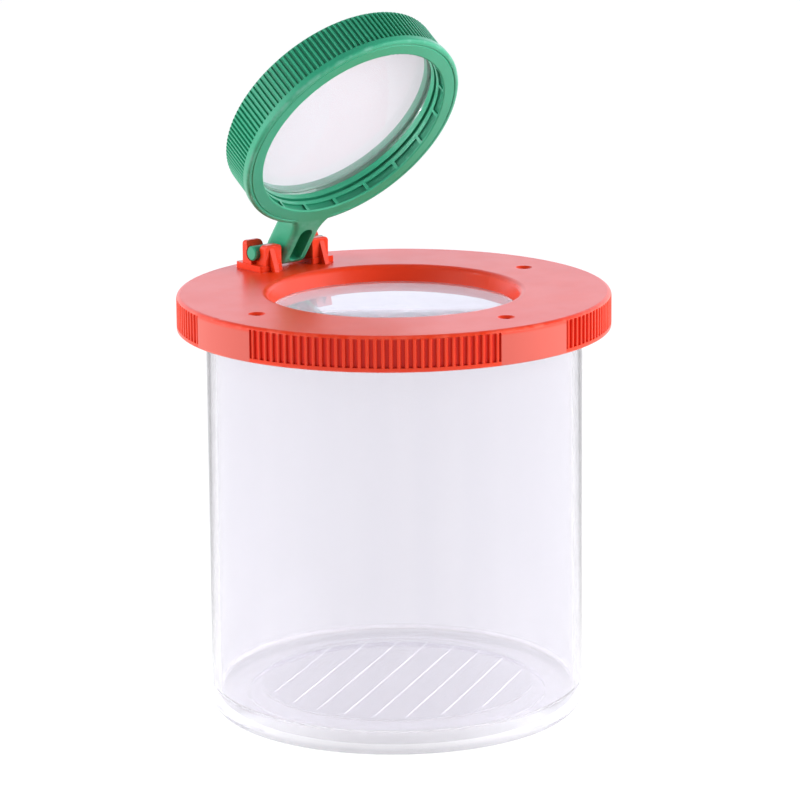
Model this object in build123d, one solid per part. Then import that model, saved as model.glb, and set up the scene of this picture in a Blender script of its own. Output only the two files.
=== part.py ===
from build123d import *
import math
import os

# Bug catcher jar: a clear jar, a red push-on lid with a lens, and a green lens frame that flips up.
# Millimetres. The origin is the centre of the base, +Z is up, and the frame's hinge is on the +Y side.

# Jar
jar_radius = 32.5
jar_height = 72.0
jar_wall = 1.4
jar_floor = 3.2
jar_floor_corner = 0.9
jar_base_corner = 2.2
jar_rim_round = 0.4
foot_width = 4.2
foot_height = 0.8
ruled_disc_radius = 24.0
ruled_disc_rise = 0.15
ruled_line_pitch = 5.3
ruled_line_shift = -1.8
ruled_line_width = 0.35
ruled_line_margin = 1.5
ruled_line_angle = -58.5

# Lid
lid_overhang = 5.0
lid_side_height = 6.15
lid_plate = 1.9
lid_seat_gap = 0.1
lid_edge_round = 0.8
lid_bottom_round = 0.3
lid_skirt_wall = 1.8
lid_collar_wall = 1.4
lid_collar_clearance = 0.15
lid_collar_recess = 0.5
lid_web_count = 24
lid_web_width = 1.0
lid_web_depth = 2.6

# Ridges: how far their rounded fronts reach past the surface that trims them
ridge_crown = 0.03

# Grip pads on the lid's side
pad_count = 4
pad_first_angle = 45.0
pad_angle = 68.0
pad_ridge_pitch = 1.309
pad_ridge_width = 0.6
pad_depth = 0.45
pad_margin_top = 0.5
pad_margin_bottom = 0.75

# Air holes
vent_radius = 1.1
vent_rim = 0.4
vent_inset = 1.4
vent_angles = (0.0, 180.0, 270.0)

# Lid lens and its seat
lid_lens_radius = 23.0
lid_lens_flange = 2.0
lid_lens_land = 2.2
lid_lens_crown = 1.1
lid_lens_belly = 0.4
lid_lens_depth = 2.8
lid_lens_clearance = 0.05
lid_lip_width = 1.0
lid_lip_round = 1.2
lid_lip_taper = 1.1
lid_boss_wall = 1.6
lug_count = 6
lug_angle = 20.0
lug_width = 0.5
lug_height = 0.9

# Lens frame
frame_wall = 2.5
frame_thickness = 8.2
frame_lid_gap = 0.3
frame_band = 1.4
frame_band_step = 0.3
frame_edge_round = 0.6
frame_lip_round = 0.25
frame_back_round = 0.6
frame_ridge_pitch = 0.956
frame_ridge_width = 0.42
frame_ridge_depth = 0.4
face_line_inset = 0.95
face_line_depth = 0.15
frame_open_angle = 54.6

# Frame lens and its seat
frame_lens_radius = 18.9
frame_lens_flange = 2.0
frame_lens_land = 0.9
frame_lens_crown = 1.0
frame_lens_belly = 0.8
frame_lens_depth = 4.3
frame_lens_clearance = 0.05
frame_bore_lip = 0.7
frame_window_count = 18
frame_window_first = 16.0
frame_window_rib = 2.0
frame_window_depth = 0.35
frame_window_start = 0.3
frame_window_height = 1.45
frame_slit_depth = 0.5
frame_slit_start = 2.5
frame_slit_height = 0.7

# Hinge
hinge_inset = 7.5
hinge_height = 3.0
pin_radius = 1.3
pin_clearance = 0.06
pin_chamfer = 0.2
arm_width = 5.8
arm_flare = 5.0
arm_root_sink = 0.2
arm_edge_round = 1.0
arm_pocket_width = 2.6
arm_pocket_depth = 3.2
arm_pocket_margin = 1.6
arm_pocket_past = 0.7
arm_pocket_round = 1.2
arm_clip_gap = 0.6
clip_length = 4.5
clip_back_wall = 1.1
clip_front_wall = 1.55
clip_throat = 2.2
clip_lead = 0.45
clip_back_rise = 2.1
clip_front_rise = 1.6
clip_back_trim = 1.0
clip_front_trim = 1.0
clip_round = 0.3
clip_corner = 0.7
clip_rib_place = 0.6
clip_rib_width = 1.0
clip_rib_reach = 1.6
clip_rib_drop = 0.6
pedestal_height = 1.05
pedestal_margin = 0.2
pedestal_back = 1.6
pedestal_round = 0.4

# Places worked out from the sizes above
jar_bore = jar_radius - jar_wall
jar_floor_level = foot_height + jar_floor
lid_radius = jar_radius + lid_overhang
lid_plate_under = jar_height + lid_seat_gap
lid_top = lid_plate_under + lid_plate
lid_bottom = lid_top - lid_side_height
collar_bore = jar_radius + lid_collar_clearance
collar_radius = collar_bore + lid_collar_wall
skirt_bore = lid_radius - lid_skirt_wall
lens_bore = lid_lens_radius + lid_lens_clearance
lens_top = lid_top - lid_lens_depth
lens_bottom = lens_top - lid_lens_flange
boss_radius = lens_bore + lid_boss_wall
boss_bottom = lens_bottom - lid_lens_clearance - lug_height
aperture = lid_lens_radius - lid_lip_width
hinge_y = lid_radius - hinge_inset
hinge_z = lid_top + hinge_height
frame_under = frame_lid_gap - hinge_height
frame_top = frame_under + frame_thickness
frame_radius = frame_lens_radius + frame_wall
frame_core = frame_radius - frame_band_step
frame_root = frame_core - frame_ridge_depth
frame_lens_low = frame_under + frame_lens_depth
frame_lens_high = frame_lens_low + frame_lens_flange
frame_seat = frame_lens_radius + frame_lens_clearance
frame_bore = frame_lens_radius - frame_bore_lip
arm_end = hinge_y - frame_radius
arm_half_depth = hinge_height - frame_lid_gap
clip_start = arm_width / 2 + arm_clip_gap
clip_end = clip_start + clip_length
clip_bore = pin_radius + pin_clearance
clip_back_depth = clip_bore + clip_back_wall
clip_front_depth = clip_bore + clip_front_wall


def turned(corners, turn=360.0):
    """Solid turned about Z from (radius, height, corner rounding) points."""
    places = [(radius, height) for radius, height, _ in corners]
    rounds = [rounding for _, _, rounding in corners]
    outline = FilletPolyline(*places, radius=rounds, close=True)
    return revolve(Plane.XZ * make_face(outline), Axis.Z, turn)


def around(shape, count):
    """Copies of a shape spaced evenly about Z."""
    return [Rot(0, 0, 360.0 / count * number) * shape for number in range(count)]


def double_convex(radius, land, crown, belly, low, high):
    """Lens about Z with a flat land round the dome of its crown and the dome of its belly."""
    dome = radius - land
    upper = TangentArc((0, high + crown), (dome, high), tangent=(1, 0))
    lower = TangentArc((0, low - belly), (dome, low), tangent=(1, 0))
    rim = Polyline((dome, high), (radius, high), (radius, low), (dome, low))
    axis = Line((0, low - belly), (0, high + crown))
    return revolve(Plane.XZ * make_face([upper, rim, lower, axis]), Axis.Z)


def ridged_cut(radius, depth, pitch, width, low, high, turn=360.0):
    """Cutter for a band about Z that leaves upright ridges with rounded fronts."""
    band = turned([
        (radius - depth, low, 0),
        (radius + depth, low, 0),
        (radius + depth, high, 0),
        (radius - depth, high, 0),
    ], turn)
    count = int(round(math.radians(turn) * radius / pitch))
    ridge = Pos(radius - depth, 0) * SlotOverall(2 * (depth + ridge_crown), width)
    ridges = Sketch() + [Rot(0, 0, turn / count * (number + 0.5)) * ridge for number in range(count)]
    return band - Pos(0, 0, low - depth) * extrude(ridges, high - low + 2 * depth)


def jar_body():
    """Straight jar with a foot ring, a rounded base and ruled lines on its floor."""
    foot_bore = jar_radius - jar_base_corner - foot_width
    shell = turned([
        (0, jar_floor_level, 0),
        (jar_bore, jar_floor_level, jar_floor_corner),
        (jar_bore, jar_height, jar_rim_round),
        (jar_radius, jar_height, jar_rim_round),
        (jar_radius, 0, jar_base_corner),
        (foot_bore, 0, 0),
        (foot_bore, foot_height, 0),
        (0, foot_height, 0),
    ])
    disc_top = jar_floor_level + ruled_disc_rise
    disc = Pos(0, 0, jar_floor_level) * Cylinder(ruled_disc_radius, 2 * ruled_disc_rise)
    line_count = 2 * int(ruled_disc_radius / ruled_line_pitch) + 1
    lines = [
        Pos((number - line_count // 2) * ruled_line_pitch + ruled_line_shift, 0, disc_top)
        * Box(ruled_line_width, 2 * ruled_disc_radius, 2 * ruled_disc_rise)
        for number in range(line_count)
    ]
    field = Pos(0, 0, disc_top) * Cylinder(ruled_disc_radius - ruled_line_margin, 2 * ruled_disc_rise)
    ruled = field & Rot(0, 0, ruled_line_angle) * (Part() + lines)
    return shell + (disc - ruled)


def lid_shell():
    """Lid plate with its skirt, the collar round the jar and the lens seat."""
    return turned([
        (aperture, lid_top, lid_lip_round),
        (lid_radius, lid_top, lid_edge_round),
        (lid_radius, lid_bottom, lid_bottom_round),
        (skirt_bore, lid_bottom, lid_bottom_round),
        (skirt_bore, lid_plate_under, 0),
        (collar_radius, lid_plate_under, 0),
        (collar_radius, lid_bottom + lid_collar_recess, lid_bottom_round),
        (collar_bore, lid_bottom + lid_collar_recess, lid_bottom_round),
        (collar_bore, lid_plate_under, 0),
        (boss_radius, lid_plate_under, 0),
        (boss_radius, boss_bottom, lid_bottom_round),
        (lens_bore, boss_bottom, lid_bottom_round),
        (lens_bore, lens_top + lid_lens_clearance, 0),
        (aperture - lid_lip_taper, lens_top + lid_lens_clearance, 0),
    ])


def lid_webs():
    """Radial webs that tie the collar to the skirt under the plate."""
    inner = (collar_bore + collar_radius) / 2
    outer = (skirt_bore + lid_radius - pad_depth) / 2
    web = Pos(inner, 0, lid_plate_under) * Box(
        outer - inner, lid_web_width, lid_web_depth, align=(Align.MIN, Align.CENTER, Align.MAX)
    )
    return around(web, lid_web_count)


def lid_lugs():
    """Snap lugs under the lens flange."""
    lug_top = lens_bottom - lid_lens_clearance
    lug = turned([
        (lens_bore + lug_width, lug_top, 0),
        (lens_bore - lug_width, lug_top, 0),
        (lens_bore, boss_bottom, 0),
        (lens_bore + lug_width, boss_bottom, 0),
    ], lug_angle)
    return around(lug, lug_count)


def pad_cuts():
    """Recesses that leave the ridges of the grip pads standing."""
    low = lid_bottom + pad_margin_bottom
    high = lid_top - pad_margin_top
    cut = ridged_cut(lid_radius, pad_depth, pad_ridge_pitch, pad_ridge_width, low, high, pad_angle)
    return around(Rot(0, 0, pad_first_angle - pad_angle / 2) * cut, pad_count)


def vents():
    """Air holes with sloping rims through the plate, inside the jar's mouth."""
    place = Pos(jar_bore - vent_inset, 0, lid_top)
    hole = place * Cylinder(vent_radius, 4 * lid_plate)
    rim = place * Cone(vent_radius, vent_radius + 2 * vent_rim, 2 * vent_rim)
    return [Rot(0, 0, angle) * (hole + rim) for angle in vent_angles]


def post(start, end, top, depth):
    """Block with rounded upper corners, reaching from the hinge axis towards -Y."""
    outline = FilletPolyline(
        (start, 0), (end, 0), (end, top), (start, top), radius=[0, 0, clip_corner, clip_corner], close=True
    )
    return extrude(Plane.XZ * make_face(outline), depth)


def clip_section():
    """Both walls of a clip seen along the pin, with the round seat and its lead-in."""
    back_top = hinge_height + clip_back_rise
    front_top = hinge_height + clip_front_rise
    throat = clip_throat / 2
    walls = make_face(FilletPolyline(
        (-clip_front_depth, 0),
        (clip_back_depth, 0),
        (clip_back_depth, back_top),
        (0, back_top),
        (0, front_top),
        (-clip_front_depth, front_top),
        radius=[0, 0, clip_round, 0, 0, clip_round],
        close=True,
    ))
    seat = Pos(0, hinge_height) * Circle(clip_bore)
    slot = Pos(0, hinge_height) * Rectangle(clip_throat, 2 * back_top, align=(Align.CENTER, Align.MIN))
    front_lead = make_face(Polyline(
        (-throat, front_top - 2 * clip_lead),
        (-throat - clip_lead, front_top),
        (-throat, front_top),
        close=True,
    ))
    back_lead = make_face(Polyline(
        (throat, back_top - 2 * clip_lead),
        (throat + clip_lead, back_top),
        (throat, back_top),
        close=True,
    ))
    return walls - seat - slot - front_lead - back_lead


def clip():
    """Snap clip for the pin on the +X side: two walls, a rib and a pedestal."""
    back_top = hinge_height + clip_back_rise
    front_top = hinge_height + clip_front_rise
    front_end = clip_end - clip_front_trim
    cradle = extrude(Plane.YZ * clip_section(), clip_end)
    front = cradle & post(clip_start, front_end, front_top, 2 * clip_front_depth)
    back = cradle & post(clip_start + clip_back_trim, clip_end, back_top, -2 * clip_back_depth)
    rib = make_face(Polyline(
        (-clip_front_depth, 0),
        (-clip_front_depth - clip_rib_reach, 0),
        (-clip_front_depth, front_top - clip_rib_drop),
        close=True,
    ))
    rib_middle = clip_start + clip_rib_place * (front_end - clip_start)
    rib_solid = Pos(rib_middle - clip_rib_width / 2, 0, 0) * extrude(Plane.YZ * rib, clip_rib_width)
    plan = Pos(clip_start - pedestal_margin, -clip_front_depth - pedestal_margin) * Rectangle(
        clip_length + 2 * pedestal_margin,
        clip_front_depth + clip_back_depth + 2 * pedestal_margin + pedestal_back,
        align=(Align.MIN, Align.MIN),
    )
    pedestal = extrude(fillet(plan.vertices(), pedestal_round), pedestal_height)
    return Pos(0, hinge_y, lid_top) * (front + back + rib_solid + pedestal)


def lid_cap():
    """The red lid: shell, webs, lugs, grip pads, air holes and clips in one moulding."""
    right = clip()
    left = mirror(right, Plane.YZ)
    return lid_shell() + lid_webs() + lid_lugs() + right + left - pad_cuts() - vents()


def lid_lens():
    """Lens that snaps into the lid from below."""
    return double_convex(
        lid_lens_radius, lid_lens_land, lid_lens_crown, lid_lens_belly, lens_bottom, lens_top
    )


def frame_ring():
    """Ring about Z with a smooth band at its underside, a groove for its lens and a slit below it."""
    line = frame_radius - face_line_inset
    slit_low = frame_under + frame_slit_start
    slit_high = slit_low + frame_slit_height
    return turned([
        (frame_bore, frame_under, frame_lip_round),
        (line - face_line_depth, frame_under, 0),
        (line, frame_under + face_line_depth, 0),
        (line + face_line_depth, frame_under, 0),
        (frame_radius, frame_under, frame_edge_round),
        (frame_radius, frame_under + frame_band, 0),
        (frame_core, frame_under + frame_band, 0),
        (frame_core, frame_top, frame_edge_round),
        (frame_bore, frame_top, frame_back_round),
        (frame_bore, frame_lens_high + frame_lens_clearance, 0),
        (frame_seat, frame_lens_high + frame_lens_clearance, 0),
        (frame_seat, frame_lens_low - frame_lens_clearance, 0),
        (frame_bore, frame_lens_low - frame_lens_clearance, 0),
        (frame_bore, slit_high, 0),
        (frame_bore + frame_slit_depth, slit_high, 0),
        (frame_bore + frame_slit_depth, slit_low, 0),
        (frame_bore, slit_low, 0),
    ])


def frame_ridges_cut():
    """Cutter for the ring's side, from its smooth band to past its upper edge."""
    low = frame_under + frame_band
    high = frame_top + frame_band
    return ridged_cut(frame_core, frame_ridge_depth, frame_ridge_pitch, frame_ridge_width, low, high)


def frame_windows():
    """Shallow windows round the bore between the face and the lens, parted by thin ribs."""
    low = frame_under + frame_window_start
    high = low + frame_window_height
    window = turned([
        (frame_bore - frame_window_depth, low, 0),
        (frame_bore + frame_window_depth, low, 0),
        (frame_bore + frame_window_depth, high, 0),
        (frame_bore - frame_window_depth, high, 0),
    ], 360.0 / frame_window_count - frame_window_rib)
    return around(Rot(0, 0, frame_window_first + frame_window_rib / 2) * window, frame_window_count)


def frame_arm():
    """Arm from the ring to the hinge, with a flared root, a round knuckle and a pocket below."""
    ring_place = Pos(0, -hinge_y)
    bar = Rectangle(arm_width, hinge_y, align=(Align.CENTER, Align.MAX))
    plan = bar + ring_place * Circle(frame_root - arm_root_sink)
    plan = fillet(plan.vertices().group_by(Axis.Y)[-2], arm_flare)
    near_ring = Rectangle(2 * frame_radius, arm_end + frame_radius / 4, align=(Align.CENTER, Align.MAX))
    blank = extrude(plan & near_ring, arm_half_depth, both=True)
    knuckle = Rot(0, 90, 0) * Cylinder(arm_half_depth, arm_width)
    arm = blank + knuckle
    sides = arm.faces().filter_by(Axis.X)
    arm = fillet(sides.edges().filter_by(Axis.Z, reverse=True), arm_edge_round)
    pocket_start = arm_pocket_margin - arm_end
    pocket_plan = RectangleRounded(arm_pocket_width, arm_pocket_past - pocket_start, arm_pocket_round)
    pocket_middle = (pocket_start + arm_pocket_past) / 2
    pocket = Pos(0, pocket_middle, -arm_half_depth) * extrude(pocket_plan, arm_pocket_depth)
    inside = ring_place * Cylinder((frame_root + frame_seat) / 2, 4 * arm_half_depth)
    return arm + hinge_pins() - pocket - inside


def hinge_pins():
    """Both pins, one bar through the knuckle."""
    bar = Rot(0, 90, 0) * Cylinder(pin_radius, 2 * clip_end)
    return chamfer(bar.edges().filter_by(GeomType.CIRCLE), pin_chamfer)


def raised(shape):
    """Swings a piece made flat at the hinge to where the frame stands open."""
    return Pos(0, hinge_y, hinge_z) * Rot(-frame_open_angle, 0, 0) * shape


def lens_frame():
    """The green frame: ridged ring, arm and pins in one moulding."""
    ring = frame_ring() - frame_ridges_cut() - frame_windows()
    return raised(Pos(0, -hinge_y, 0) * ring + frame_arm())


def frame_lens():
    """Lens that snaps into the frame."""
    lens = double_convex(
        frame_lens_radius,
        frame_lens_land,
        frame_lens_crown,
        frame_lens_belly,
        frame_lens_low,
        frame_lens_high,
    )
    return raised(Pos(0, -hinge_y, 0) * lens)


os.makedirs("parts", exist_ok=True)
export_step(jar_body(), "parts/jar_body.step")
export_step(lid_cap(), "parts/lid_cap.step")
export_step(lid_lens(), "parts/lid_lens.step")
export_step(lens_frame(), "parts/lens_frame.step")
export_step(frame_lens(), "parts/frame_lens.step")
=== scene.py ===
import math

import bmesh
import bpy
from mathutils import Matrix, Vector


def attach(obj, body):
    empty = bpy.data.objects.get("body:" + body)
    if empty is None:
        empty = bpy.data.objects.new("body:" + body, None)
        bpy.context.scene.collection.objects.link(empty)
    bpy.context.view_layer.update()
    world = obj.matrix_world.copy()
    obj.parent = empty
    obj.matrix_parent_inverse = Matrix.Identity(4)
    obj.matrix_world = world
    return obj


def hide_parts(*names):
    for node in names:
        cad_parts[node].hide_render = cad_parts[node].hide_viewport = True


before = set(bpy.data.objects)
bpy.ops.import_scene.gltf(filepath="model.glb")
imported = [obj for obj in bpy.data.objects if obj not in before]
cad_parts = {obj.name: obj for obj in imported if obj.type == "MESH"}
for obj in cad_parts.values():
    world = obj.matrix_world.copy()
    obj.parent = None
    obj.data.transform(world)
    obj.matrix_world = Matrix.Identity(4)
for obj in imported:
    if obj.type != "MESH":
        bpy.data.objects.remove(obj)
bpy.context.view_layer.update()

# Camera at the photograph's viewing angle, in metres and degrees
CAMERA_TURN = -39.11
CAMERA_DISTANCE = 0.7
CAMERA_HEIGHT = 0.21934
CAMERA_PITCH = 13.251
CAMERA_YAW = -0.074
CAMERA_ROLL = -0.504
CAMERA_LENS = 186.54
SENSOR_WIDTH = 36.0

# Stage: a lit white table under a sky that is bright round the sides and dim overhead and in front
FLOOR_SIZE = 6.0
FLOOR_LEVEL = -0.0003
FLOOR_COLOUR = (0.12, 0.12, 0.12, 1.0)
FLOOR_ROUGHNESS = 0.9
FLOOR_LIGHT = (1.0, 1.0, 1.0, 1.0)
FLOOR_GLOW = 0.9
SKY_SIDE = (1.42, 1.44, 1.62, 1.0)
SKY_OVERHEAD = (0.2, 0.2, 0.23, 1.0)
SKY_RISE = (0.25, 0.85)
SKY_FRONT = (0.0, 0.9)
SKY_FRONT_SHARE = 0.22

# Soft boxes: place, width and height in metres, power in watts
SOFT_BOXES = (
    ((-0.33, 0.2, 0.2), 0.45, 0.3, 1.9),
    ((0.29, -0.32, 0.19), 0.45, 0.3, 3.1),
)
AIM = (0.0, 0.0, 0.07)

# Places on the lid and the ring that the materials follow, in metres and degrees
LID_RADIUS = 0.0375
LID_TOP = 0.074
LID_BOTTOM = 0.06785
PAD_COUNT = 4.0
RING_CENTRE = (0.0, 0.01263, 0.10145)
RING_TILT = 54.6
RING_RADIUS = 0.0214
RING_BORE = 0.0182
RING_FACE = -0.0027
RING_BACK = 0.0055

# Outlines of the clear pieces, in metres and degrees
TURN_STEPS = 384
ARC_STEPS = 8
DOME_STEPS = 32
SHARP_ANGLE = 25.0
JAR_RADIUS = 0.0325
JAR_BORE = 0.0311
JAR_HEIGHT = 0.072
JAR_FLOOR = 0.004
JAR_RIM_ROUND = 0.0004
JAR_FLOOR_ROUND = 0.0009
JAR_BASE_ROUND = 0.0022
FOOT_BORE = 0.0261
FOOT_HEIGHT = 0.0008
RULED_RADIUS = 0.024
RULED_RISE = 0.00015
RULED_PITCH = 0.0053
RULED_SHIFT = -0.0018
RULED_WIDTH = 0.00035
RULED_ANGLE = -58.5
RULED_MARGIN = 0.0015
LENS_FLANGE = 0.002
LID_LENS_RADIUS = 0.023
LID_LENS_DOME = 0.0208
LID_LENS_LOW = 0.0692
LID_LENS_CROWN = 0.0011
LID_LENS_BELLY = 0.0004
RING_LENS_RADIUS = 0.0189
RING_LENS_DOME = 0.018
RING_LENS_LOW = 0.0016
RING_LENS_CROWN = 0.001
RING_LENS_BELLY = 0.0008

# Blocks that cut the ruled lines: height, and height of their middle above the floor
RULED_BLOCK = 2 * RULED_RISE
RULED_BLOCK_MIDDLE = 1.1 * RULED_RISE

# Bands on the lid, from and to. The rims are a centre and a reach.
LID_EDGE = (LID_RADIUS - 0.0009, LID_RADIUS - 0.0002)
LID_TOP_RIM = (LID_TOP - 0.0003, 0.0006)
LID_BOTTOM_RIM = (LID_BOTTOM, 0.0005)
PAD_BACK = (LID_RADIUS - 0.0008, LID_RADIUS - 0.0006)
PAD_FRONT = (LID_RADIUS - 0.0004, LID_RADIUS - 0.0001)
PAD_TOP = (LID_TOP - 0.0008, LID_TOP - 0.0006)
PANEL_TURN = (0.71, 0.73)
PANEL_EDGE = (LID_RADIUS - 0.0006, LID_RADIUS - 0.0001)
PANEL_TOP = (LID_TOP - 0.0012, LID_TOP - 0.0004)

# Bands on the ring, from and to. The rims are a centre and a reach.
BORE_FRONT = (RING_BORE, RING_BORE + 0.0002)
BORE_BACK = (RING_BORE + 0.0008, RING_BORE + 0.0009)
BORE_LOW = (RING_FACE + 0.0001, RING_FACE + 0.0004)
BORE_HIGH = (RING_FACE + 0.0035, RING_FACE + 0.0038)
RING_EDGE = (RING_RADIUS - 0.0009, RING_RADIUS - 0.0003)
RING_FACE_RIM = (RING_FACE + 0.0002, 0.0005)
RING_BACK_RIM = (RING_BACK - 0.0002, 0.0006)

# Bands on the clear pieces, from and to
JAR_FROST_TOP = (JAR_FLOOR + 0.0003, JAR_FLOOR + 0.0006)
JAR_FLOOR_LOW = (JAR_FLOOR - 0.0004, JAR_FLOOR - 0.0002)
JAR_FLOOR_EDGE = (JAR_BORE - 0.0006, JAR_BORE - 0.0002)
RULED_EDGE = (RULED_RADIUS - 0.0008, RULED_RADIUS + 0.0004)
RULED_DEPTH = (JAR_FLOOR + 0.3 * RULED_RISE, JAR_FLOOR + 0.9 * RULED_RISE)
JAR_CORNER_TOP = (0.4 * JAR_BASE_ROUND, 1.1 * JAR_BASE_ROUND)
JAR_CORNER_SIDE = (JAR_RADIUS - JAR_BASE_ROUND, JAR_RADIUS - 0.6 * JAR_BASE_ROUND)
LID_LENS_GROUND = (LID_LENS_DOME - 0.0002, LID_LENS_DOME + 0.0002)
RING_LENS_GROUND = (RING_LENS_RADIUS - 0.0003, RING_LENS_RADIUS - 0.0001)

# Noise patterns: features per metre, detail and roughness. Bands of their values.
CLOUD = (70.0, 4.0, 0.6)
GRAIN = (3200.0, 2.0, 0.5)
SCUFF = (260.0, 3.0, 0.65)
GLOSS = (150.0, 3.0, 0.6)
SMEAR = (55.0, 4.0, 0.6)
FLOW = (1.0, 3.0, 0.5)
WHOLE_BAND = (0.0, 1.0)
MIDDLE_BAND = (0.3, 0.7)
SCUFF_BAND = (0.42, 0.66)
SMEAR_BAND = (0.45, 0.75)

# Surfaces: roughness, refractive index, haze, bump and streaks of flow per metre along each axis
RED_GLOSS = (0.285, 0.315)
RED_IOR = 1.42
GREEN_GLOSS = (0.285, 0.34)
GREEN_IOR = 1.55
WEAR_SHARE = 0.4
WEAR_ROUGHNESS = 0.06
GROOVE_ROUGHNESS = 0.25
CLEAR_GLOSS = (0.015, 0.06)
CLEAR_IOR = 1.2
FROST_ROUGHNESS = 0.07
FROST_CLEARNESS = 0.75
JAR_HAZE = 0.04
LID_LENS_HAZE = 0.12
RING_LENS_HAZE = 0.2
JAR_STREAK = (260, 260, 9)
LENS_STREAK = (60, 60, 60)
BUMP_HEIGHT = 0.0001
GRAIN_BUMP = 0.03
FLOW_BUMP = 0.01

# Colours, linear
RED = (0.68, 0.032, 0.005, 1.0)
RED_LIGHT = (0.71, 0.04, 0.008, 1.0)
# Paler red of the plain panels: a painted sheen
RED_PANEL_SHEEN = (0.56, 0.095, 0.07, 1.0)
# Red of the groove floors: a painted shade
RED_GROOVE_SHADE = (0.68, 0.016, 0.002, 1.0)
RED_WORN = (0.86, 0.16, 0.1, 1.0)
GREEN = (0.022, 0.285, 0.15, 1.0)
GREEN_LIGHT = (0.028, 0.315, 0.17, 1.0)
# Green of the bore windows and slit: a painted shade
GREEN_GROOVE_SHADE = (0.013, 0.2, 0.105, 1.0)
GREEN_WORN = (0.22, 0.5, 0.39, 1.0)
JAR_TINT = (0.83, 0.82, 0.855, 1.0)
JAR_LIGHT = (0.84, 0.83, 0.862, 1.0)
JAR_FROST = (0.76, 0.752, 0.775, 1.0)
JAR_RING = (0.57, 0.562, 0.566, 1.0)
JAR_RULED = (0.5, 0.492, 0.498, 1.0)
JAR_LINE = (0.95, 0.945, 0.97, 1.0)
JAR_CORNER = (0.52, 0.515, 0.54, 1.0)
LID_LENS_TINT = (0.72, 0.715, 0.765, 1.0)
LID_LENS_LIGHT = (0.745, 0.74, 0.79, 1.0)
LID_LENS_EDGE = (0.95, 0.945, 0.975, 1.0)
RING_LENS_TINT = (0.78, 0.775, 0.815, 1.0)
RING_LENS_LIGHT = (0.795, 0.79, 0.83, 1.0)
# Green of the ring lens's ground edge: a painted reflection of the ring
RING_LENS_EDGE_REFLECTION = (0.03, 0.21, 0.12, 1.0)


def add_camera():
    """Camera fitted to the outlines in the photograph."""
    turn = math.radians(CAMERA_TURN)
    pitch = math.radians(CAMERA_PITCH)
    heading = turn + math.radians(CAMERA_YAW)
    forward = Vector((
        -math.sin(heading) * math.cos(pitch),
        math.cos(heading) * math.cos(pitch),
        -math.sin(pitch),
    ))
    right = forward.cross(Vector((0, 0, 1))).normalized()
    up = right.cross(forward)
    roll = Matrix.Rotation(math.radians(CAMERA_ROLL), 3, "Z")
    tilt = Matrix((right, up, -forward)).transposed() @ roll
    camera = bpy.data.cameras.new("camera")
    camera.lens = CAMERA_LENS
    camera.sensor_width = SENSOR_WIDTH
    seat = bpy.data.objects.new("camera", camera)
    seat.matrix_world = tilt.to_4x4()
    seat.location = (math.sin(turn) * CAMERA_DISTANCE, -math.cos(turn) * CAMERA_DISTANCE, CAMERA_HEIGHT)
    bpy.context.scene.collection.objects.link(seat)
    bpy.context.scene.camera = seat


def add(tree, kind, values, **settings):
    """New node with its settings, and with values or links on its named or numbered sockets."""
    made = tree.nodes.new(kind)
    for name, value in settings.items():
        setattr(made, name, value)
    for place, value in values.items():
        if isinstance(value, bpy.types.NodeSocket):
            tree.links.new(value, made.inputs[place])
        else:
            made.inputs[place].default_value = value
    return made


def calc(tree, operation, *values):
    """Output of a Math node."""
    return add(tree, "ShaderNodeMath", dict(enumerate(values)), operation=operation).outputs[0]


def times(tree, first, second):
    """Product of two values."""
    return calc(tree, "MULTIPLY", first, second)


def ramp(tree, value, band, start=0.0, end=1.0):
    """Value carried smoothly from a band to start..end and held there."""
    numbers = {"Value": value, "From Min": band[0], "From Max": band[1], "To Min": start, "To Max": end}
    return add(tree, "ShaderNodeMapRange", numbers, interpolation_type="SMOOTHSTEP").outputs[0]


def fall(tree, value, band):
    """1 before a band, falling to 0 behind it."""
    return ramp(tree, value, band, 1.0, 0.0)


def near(tree, value, centre, reach):
    """1 where a value is at the centre, falling to 0 at its reach on both sides."""
    return fall(tree, calc(tree, "ABSOLUTE", calc(tree, "SUBTRACT", value, centre)), (0.0, reach))


def blend(tree, factor, first, second):
    """Colour between two others."""
    return add(tree, "ShaderNodeMix", {0: factor, 6: first, 7: second}, data_type="RGBA").outputs[2]


def noise(tree, place, pattern):
    """Noise between 0 and 1."""
    scale, detail, roughness = pattern
    values = {"Vector": place, "Scale": scale, "Detail": detail, "Roughness": roughness}
    return add(tree, "ShaderNodeTexNoise", values).outputs[0]


def turned_place(tree, place):
    """Distance from the Z axis, and height."""
    parts = add(tree, "ShaderNodeSeparateXYZ", {"Vector": place}).outputs
    flat = add(tree, "ShaderNodeCombineXYZ", {"X": parts[0], "Y": parts[1]}).outputs[0]
    return add(tree, "ShaderNodeVectorMath", {0: flat}, operation="LENGTH").outputs["Value"], parts[2]


def new_material(name):
    """Material, its node tree, its shader and the object coordinates."""
    material = bpy.data.materials.new(name)
    material.use_nodes = True
    tree = material.node_tree
    shader = tree.nodes["Principled BSDF"]
    place = add(tree, "ShaderNodeTexCoord", {}).outputs["Object"]
    return material, tree, shader, place


def finish_surface(tree, shader, colour, roughness, height, strength):
    """Links colour, roughness and a fine bump to the shader."""
    bump = add(tree, "ShaderNodeBump", {"Strength": strength, "Distance": BUMP_HEIGHT, "Height": height})
    tree.links.new(colour, shader.inputs["Base Color"])
    tree.links.new(roughness, shader.inputs["Roughness"])
    tree.links.new(bump.outputs[0], shader.inputs["Normal"])


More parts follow.
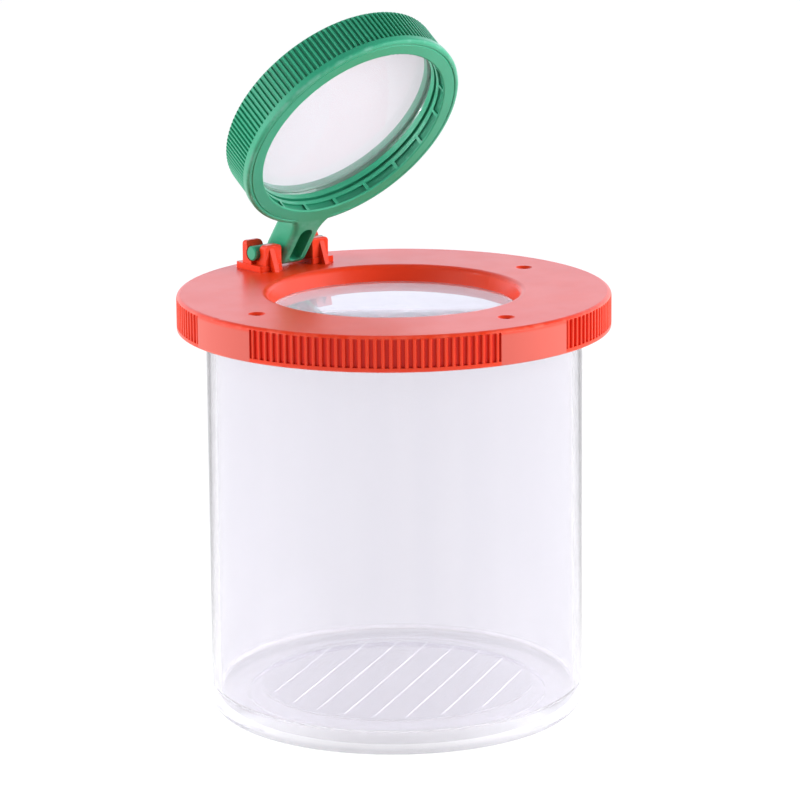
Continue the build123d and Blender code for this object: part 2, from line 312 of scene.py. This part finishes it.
def moulded(name, tones, wear_of, grooves_of, gloss, ior, panels=None):
    """Opaque moulded plastic: clouded pigment, fine grain, a painted shade in the grooves, a painted sheen
    on the plain panels, and worn edges.
    """
    material, tree, shader, place = new_material(name)
    base, light, worn, groove_shade = tones
    wear = times(tree, wear_of(tree, place), ramp(tree, noise(tree, place, SCUFF), SCUFF_BAND))
    grooves = grooves_of(tree, place)
    colour = blend(tree, ramp(tree, noise(tree, place, CLOUD), MIDDLE_BAND), base, light)
    # Painted shade: a darker, more saturated tone in the grooves and bore windows
    colour = blend(tree, grooves, colour, groove_shade)
    if panels:
        panels_of, pale = panels
        # Painted sheen: a paler tone on the lid's plain panels
        colour = blend(tree, panels_of(tree, place), colour, pale)
    colour = blend(tree, times(tree, wear, WEAR_SHARE), colour, worn)
    roughness = ramp(tree, noise(tree, place, GLOSS), MIDDLE_BAND, *gloss)
    roughness = calc(tree, "ADD", roughness, times(tree, wear, WEAR_ROUGHNESS))
    roughness = calc(tree, "ADD", roughness, times(tree, grooves, GROOVE_ROUGHNESS))
    finish_surface(tree, shader, colour, roughness, noise(tree, place, GRAIN), GRAIN_BUMP)
    shader.inputs["IOR"].default_value = ior
    return material


def lid_wear(tree, place):
    """Rims of the lid, where hands pull it."""
    radius, height = turned_place(tree, place)
    top = near(tree, height, *LID_TOP_RIM)
    bottom = near(tree, height, *LID_BOTTOM_RIM)
    return times(tree, ramp(tree, radius, LID_EDGE), calc(tree, "MAXIMUM", top, bottom))


def lid_grooves(tree, place):
    """Floors of the grip pads, between their ridges, which get a painted shade."""
    radius, height = turned_place(tree, place)
    floor = times(tree, ramp(tree, radius, PAD_BACK), fall(tree, radius, PAD_FRONT))
    return times(tree, floor, fall(tree, height, PAD_TOP))


def lid_panel_sheen(tree, place):
    """Plain panels between the grip pads, where a paler tone is painted in as sheen."""
    radius, height = turned_place(tree, place)
    parts = add(tree, "ShaderNodeSeparateXYZ", {"Vector": place}).outputs
    angle = calc(tree, "ARCTAN2", parts[1], parts[0])
    between = ramp(tree, calc(tree, "COSINE", times(tree, angle, PAD_COUNT)), PANEL_TURN)
    side = times(tree, ramp(tree, radius, PANEL_EDGE), fall(tree, height, PANEL_TOP))
    return times(tree, between, side)


def ring_place(tree, place):
    """Distance from the ring's axis, and height along it."""
    moved = add(tree, "ShaderNodeVectorMath", {0: place, 1: RING_CENTRE}, operation="SUBTRACT").outputs[0]
    tilt = (math.radians(RING_TILT), 0, 0)
    flat = add(tree, "ShaderNodeMapping", {"Vector": moved, "Rotation": tilt}).outputs[0]
    return turned_place(tree, flat)


def ring_grooves(tree, place):
    """Windows and slit in the ring's bore, below its lens, which get a painted shade."""
    radius, height = ring_place(tree, place)
    wall = times(tree, ramp(tree, radius, BORE_FRONT), fall(tree, radius, BORE_BACK))
    span = times(tree, ramp(tree, height, BORE_LOW), fall(tree, height, BORE_HIGH))
    return times(tree, wall, span)


def ring_wear(tree, place):
    """Both rims of the ring."""
    radius, height = ring_place(tree, place)
    face = near(tree, height, *RING_FACE_RIM)
    back = near(tree, height, *RING_BACK_RIM)
    return times(tree, ramp(tree, radius, RING_EDGE), calc(tree, "MAXIMUM", face, back))


def clear(name, tones, streak, frost_of, haze, marks_of=None):
    """Clear moulded plastic: faint streaks of flow, handling smears, a frost-textured part and marks on it.
    """
    material, tree, shader, place = new_material(name)
    base, light, frost_part_colour = tones
    flow = noise(tree, add(tree, "ShaderNodeMapping", {"Vector": place, "Scale": streak}).outputs[0], FLOW)
    frost = frost_of(tree, place)
    colour = blend(tree, ramp(tree, flow, MIDDLE_BAND), base, light)
    # The frost-textured part takes its own colour; on the ring's lens this colour is a painted reflection of
    # the green ring
    colour = blend(tree, frost, colour, frost_part_colour)
    if marks_of:
        colour = marks_of(tree, place, colour)
    smear = ramp(tree, noise(tree, place, SMEAR), SMEAR_BAND)
    roughness = ramp(tree, smear, WHOLE_BAND, *CLEAR_GLOSS)
    roughness = calc(tree, "ADD", roughness, times(tree, frost, FROST_ROUGHNESS))
    finish_surface(tree, shader, colour, roughness, flow, FLOW_BUMP)
    clearness = ramp(tree, frost, WHOLE_BAND, 1.0 - haze, FROST_CLEARNESS)
    tree.links.new(clearness, shader.inputs["Transmission Weight"])
    shader.inputs["IOR"].default_value = CLEAR_IOR
    return material


def jar_frost(tree, place):
    """Finely textured floor and foot of the jar."""
    return fall(tree, turned_place(tree, place)[1], JAR_FROST_TOP)


def jar_marks(tree, place, colour):
    """Greyer floor and base corner of the jar, with pale ruled lines on the floor's disc."""
    radius, height = turned_place(tree, place)
    corner = times(tree, fall(tree, height, JAR_CORNER_TOP), ramp(tree, radius, JAR_CORNER_SIDE))
    colour = blend(tree, corner, colour, JAR_CORNER)
    ruled = blend(tree, fall(tree, height, RULED_DEPTH), JAR_RULED, JAR_LINE)
    floor = blend(tree, fall(tree, radius, RULED_EDGE), JAR_RING, ruled)
    inside = times(tree, ramp(tree, height, JAR_FLOOR_LOW), fall(tree, radius, JAR_FLOOR_EDGE))
    return blend(tree, inside, colour, floor)


def lid_lens_frost(tree, place):
    """Ground edge of the lid lens."""
    return ramp(tree, turned_place(tree, place)[0], LID_LENS_GROUND)


def ring_lens_frost(tree, place):
    """Ground edge of the ring's lens, coloured with a painted reflection of the green ring."""
    return ramp(tree, ring_place(tree, place)[0], RING_LENS_GROUND)


def add_floor():
    """White table that glows a little, as a lit product table does."""
    bpy.ops.mesh.primitive_plane_add(size=FLOOR_SIZE, location=(0, 0, FLOOR_LEVEL))
    floor = bpy.context.object
    floor.name = "floor"
    paper = bpy.data.materials.new("floor_paper")
    paper.use_nodes = True
    shader = paper.node_tree.nodes["Principled BSDF"]
    shader.inputs["Base Color"].default_value = FLOOR_COLOUR
    shader.inputs["Roughness"].default_value = FLOOR_ROUGHNESS
    shader.inputs["Emission Color"].default_value = FLOOR_LIGHT
    shader.inputs["Emission Strength"].default_value = FLOOR_GLOW
    floor.data.materials.append(paper)


def add_sky():
    """Soft light from all sides, dimmer overhead and from the front."""
    world = bpy.data.worlds.new("studio")
    world.use_nodes = True
    bpy.context.scene.world = world
    tree = world.node_tree
    place = add(tree, "ShaderNodeTexCoord", {}).outputs["Generated"]
    height = add(tree, "ShaderNodeSeparateXYZ", {"Vector": place}).outputs[2]
    turn = math.radians(CAMERA_TURN)
    facing = (math.sin(turn), -math.cos(turn), 0)
    front = add(tree, "ShaderNodeVectorMath", {0: place, 1: facing}, operation="DOT_PRODUCT")
    sky = blend(tree, ramp(tree, height, SKY_RISE), SKY_SIDE, SKY_OVERHEAD)
    strength = ramp(tree, front.outputs["Value"], SKY_FRONT, 1.0, SKY_FRONT_SHARE)
    background = tree.nodes["Background"]
    tree.links.new(sky, background.inputs["Color"])
    tree.links.new(strength, background.inputs["Strength"])


def add_soft_boxes():
    """Large soft lights on both sides. They light the object, but don't mirror in it."""
    for number, (place, width, height, power) in enumerate(SOFT_BOXES):
        lamp = bpy.data.lights.new("soft_box_%d" % number, "AREA")
        lamp.shape = "RECTANGLE"
        lamp.size = width
        lamp.size_y = height
        lamp.energy = power
        seat = bpy.data.objects.new(lamp.name, lamp)
        seat.location = place
        seat.rotation_euler = (Vector(AIM) - Vector(place)).to_track_quat("-Z", "Y").to_euler()
        seat.visible_camera = False
        seat.visible_glossy = False
        bpy.context.scene.collection.objects.link(seat)


def paint(node, material):
    """Gives a CAD node its material."""
    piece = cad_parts[node]
    piece.data.materials.clear()
    piece.data.materials.append(material)


def rounded(corners):
    """Outline through (radius, height, rounding) corners, with an arc at each rounded one."""
    points = []
    for number, (radius, height, rounding) in enumerate(corners):
        corner = Vector((radius, height))
        if rounding == 0:
            points.append(corner)
            continue
        before = (Vector(corners[number - 1][:2]) - corner).normalized()
        after = (Vector(corners[(number + 1) % len(corners)][:2]) - corner).normalized()
        half = before.angle(after) / 2
        centre = corner + (before + after).normalized() * (rounding / math.sin(half))
        start = corner + before * (rounding / math.tan(half)) - centre
        end = corner + after * (rounding / math.tan(half)) - centre
        for step in range(ARC_STEPS + 1):
            points.append(centre + start.lerp(end, step / ARC_STEPS).normalized() * rounding)
    return points


def domed(dome, rise, height):
    """Points of a dome from its crown on the axis to its edge. A negative rise makes it hang."""
    curve = (dome ** 2 + rise ** 2) / (2 * rise)
    points = []
    for step in range(DOME_STEPS + 1):
        place = dome * step / DOME_STEPS
        swell = math.copysign(math.sqrt(curve ** 2 - place ** 2), rise)
        points.append((place, height + rise - curve + swell))
    return points


def lens_outline(radius, dome, low, crown, belly):
    """Outline of a lens with a flat land round its two domes."""
    high = low + LENS_FLANGE
    return domed(dome, crown, high) + [(radius, high), (radius, low)] + domed(dome, -belly, low)[::-1]


def turned(name, outline):
    """Closed mesh turned about the Z axis from an outline of (radius, height) points."""
    work = bmesh.new()
    angles = [2 * math.pi * step / TURN_STEPS for step in range(TURN_STEPS)]
    rings = []
    for radius, height in outline:
        round_it = angles if radius > 0 else angles[:1]
        places = [(radius * math.cos(angle), radius * math.sin(angle), height) for angle in round_it]
        rings.append([work.verts.new(place) for place in places])
    for first, second in zip(rings, rings[1:] + rings[:1]):
        if len(first) + len(second) == 2:
            continue
        for step in range(TURN_STEPS):
            ahead = (step + 1) % TURN_STEPS
            corners = (first[step % len(first)], second[step % len(second)],
                       second[ahead % len(second)], first[ahead % len(first)])
            work.faces.new(list(dict.fromkeys(corners)))
    bmesh.ops.recalc_face_normals(work, faces=work.faces)
    mesh = bpy.data.meshes.new(name)
    work.to_mesh(mesh)
    work.free()
    return mesh


def ruled_lines():
    """Blocks that cut the ruled lines into the jar's floor."""
    work = bmesh.new()
    field = RULED_RADIUS - RULED_MARGIN
    reach = int(RULED_RADIUS / RULED_PITCH)
    turn = Matrix.Rotation(math.radians(RULED_ANGLE), 4, "Z")
    for number in range(-reach, reach + 1):
        across = number * RULED_PITCH + RULED_SHIFT
        if abs(across) >= field:
            continue
        length = 2 * math.sqrt(field ** 2 - across ** 2)
        size = Matrix.Diagonal((RULED_WIDTH, length, RULED_BLOCK, 1.0))
        place = Matrix.Translation((across, 0, JAR_FLOOR + RULED_BLOCK_MIDDLE))
        bmesh.ops.create_cube(work, size=1.0, matrix=turn @ place @ size)
    mesh = bpy.data.meshes.new("ruled_lines")
    work.to_mesh(mesh)
    work.free()
    return bpy.data.objects.new("ruled_lines", mesh)


def jar_mesh():
    """Jar with a foot ring, a rounded base and ruled lines on the raised disc of its floor."""
    shell = bpy.data.objects.new("jar_blank", turned("jar_blank", rounded([
        (0, JAR_FLOOR + RULED_RISE, 0),
        (RULED_RADIUS, JAR_FLOOR + RULED_RISE, 0),
        (RULED_RADIUS, JAR_FLOOR, 0),
        (JAR_BORE, JAR_FLOOR, JAR_FLOOR_ROUND),
        (JAR_BORE, JAR_HEIGHT, JAR_RIM_ROUND),
        (JAR_RADIUS, JAR_HEIGHT, JAR_RIM_ROUND),
        (JAR_RADIUS, 0, JAR_BASE_ROUND),
        (FOOT_BORE, 0, 0),
        (FOOT_BORE, FOOT_HEIGHT, 0),
        (0, FOOT_HEIGHT, 0),
    ])))
    lines = ruled_lines()
    for piece in (shell, lines):
        bpy.context.scene.collection.objects.link(piece)
    cut = shell.modifiers.new("lines", "BOOLEAN")
    cut.operation = "DIFFERENCE"
    cut.solver = "EXACT"
    cut.object = lines
    made = bpy.data.meshes.new_from_object(shell.evaluated_get(bpy.context.evaluated_depsgraph_get()))
    for piece in (shell, lines):
        bpy.data.objects.remove(piece)
    return made


def lid_lens_mesh():
    """Lens of the lid, in its seat."""
    sizes = (LID_LENS_RADIUS, LID_LENS_DOME, LID_LENS_LOW, LID_LENS_CROWN, LID_LENS_BELLY)
    return turned("lid_lens", lens_outline(*sizes))


def ring_lens_mesh():
    """Lens of the ring, swung to where the ring stands open."""
    sizes = (RING_LENS_RADIUS, RING_LENS_DOME, RING_LENS_LOW, RING_LENS_CROWN, RING_LENS_BELLY)
    mesh = turned("ring_lens", lens_outline(*sizes))
    mesh.transform(Matrix.Translation(RING_CENTRE) @ Matrix.Rotation(math.radians(-RING_TILT), 4, "X"))
    return mesh


def add_clear(name, mesh, material, node, body):
    """Smooth clear piece in place of a CAD node. It lets the light through to what is behind it."""
    mesh.materials.clear()
    mesh.materials.append(material)
    for polygon in mesh.polygons:
        polygon.use_smooth = True
    mesh.set_sharp_from_angle(angle=math.radians(SHARP_ANGLE))
    piece = bpy.data.objects.new(name, mesh)
    bpy.context.scene.collection.objects.link(piece)
    piece.visible_shadow = False
    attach(piece, body)
    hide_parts(node)


add_camera()
add_floor()
add_sky()
add_soft_boxes()
bpy.context.scene.view_settings.view_transform = "Standard"

red_tones = (RED, RED_LIGHT, RED_WORN, RED_GROOVE_SHADE)
red_panel_sheen = (lid_panel_sheen, RED_PANEL_SHEEN)
paint("lid_cap", moulded("red_plastic", red_tones, lid_wear, lid_grooves, RED_GLOSS, RED_IOR, red_panel_sheen))
green_tones = (GREEN, GREEN_LIGHT, GREEN_WORN, GREEN_GROOVE_SHADE)
paint("lens_frame", moulded("green_plastic", green_tones, ring_wear, ring_grooves, GREEN_GLOSS, GREEN_IOR))

jar_tones = (JAR_TINT, JAR_LIGHT, JAR_FROST)
jar_plastic = clear("jar_plastic", jar_tones, JAR_STREAK, jar_frost, JAR_HAZE, jar_marks)
lid_lens_tones = (LID_LENS_TINT, LID_LENS_LIGHT, LID_LENS_EDGE)
lid_lens_plastic = clear("lid_lens_plastic", lid_lens_tones, LENS_STREAK, lid_lens_frost, LID_LENS_HAZE)
ring_lens_tones = (RING_LENS_TINT, RING_LENS_LIGHT, RING_LENS_EDGE_REFLECTION)
ring_lens_plastic = clear("ring_lens_plastic", ring_lens_tones, LENS_STREAK, ring_lens_frost, RING_LENS_HAZE)
add_clear("clear_jar", jar_mesh(), jar_plastic, "jar_body", "jar")
add_clear("clear_lid_lens", lid_lens_mesh(), lid_lens_plastic, "lid_lens", "lid_window")
add_clear("clear_ring_lens", ring_lens_mesh(), ring_lens_plastic, "frame_lens", "flip_frame")
